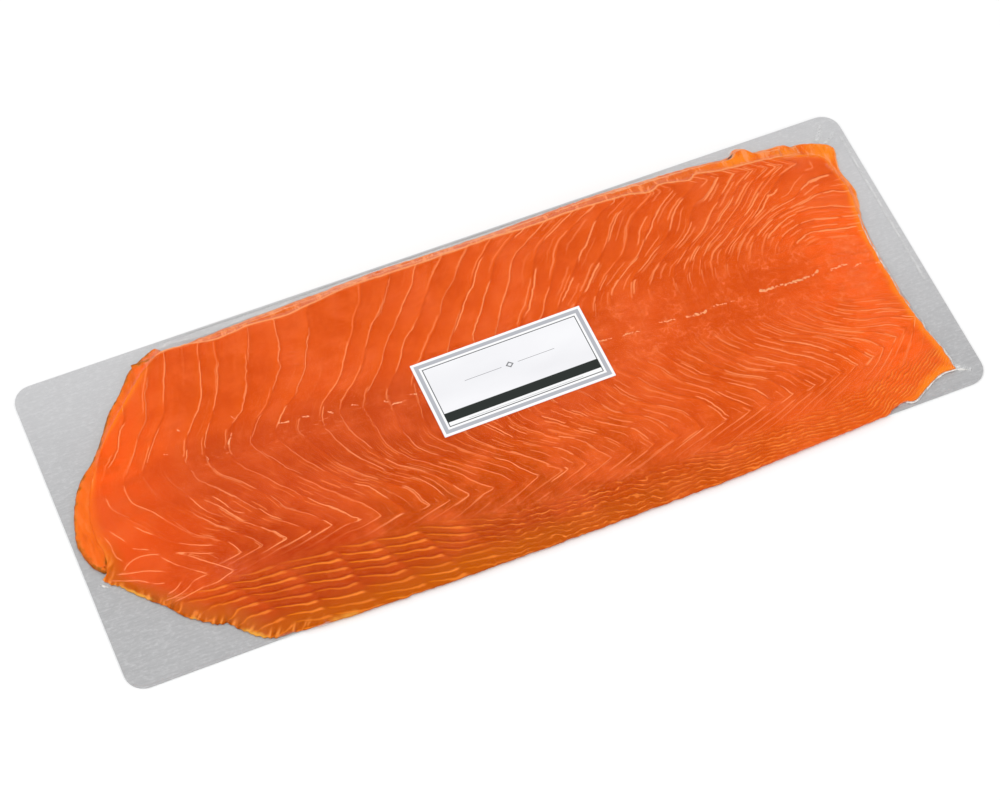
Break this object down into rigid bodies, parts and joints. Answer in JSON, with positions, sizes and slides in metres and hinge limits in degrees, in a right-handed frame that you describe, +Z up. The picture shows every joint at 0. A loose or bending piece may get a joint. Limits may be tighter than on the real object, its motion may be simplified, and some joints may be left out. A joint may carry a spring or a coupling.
{
  "type": "sliced smoked salmon side on a silver card",
  "caption": "Flat side of sliced smoked salmon lying on a silver card under clear film, with a blank bordered sticker on top.",
  "frame": {"origin": "under the middle of the whole pack, on the surface it lies on", "axes": "+X along the card to the fish's square end, +Y across it to the fish's back edge, +Z up"},
  "size_m": [0.563, 0.2255, 0.014],
  "materials": {
    "silver_board": "board faced with silver foil, satin, with fine wrinkles",
    "salmon_flesh": "moist cold-smoked flesh, orange with paler lines of fat between the flakes",
    "sticker_paper": "coated paper with a grey border, a satin field and one dark band, no words",
    "clear_film": "thin clear vacuum film, glossy, drawn tight over the fish and the card"
  },
  "bodies": {
    "root": {"silver_card": "silver_board", "lowest_slice": "salmon_flesh", "third_slice": "salmon_flesh", "second_slice": "salmon_flesh", "top_slice": "salmon_flesh", "sticker": "sticker_paper"}
  },
  "joints": []
}
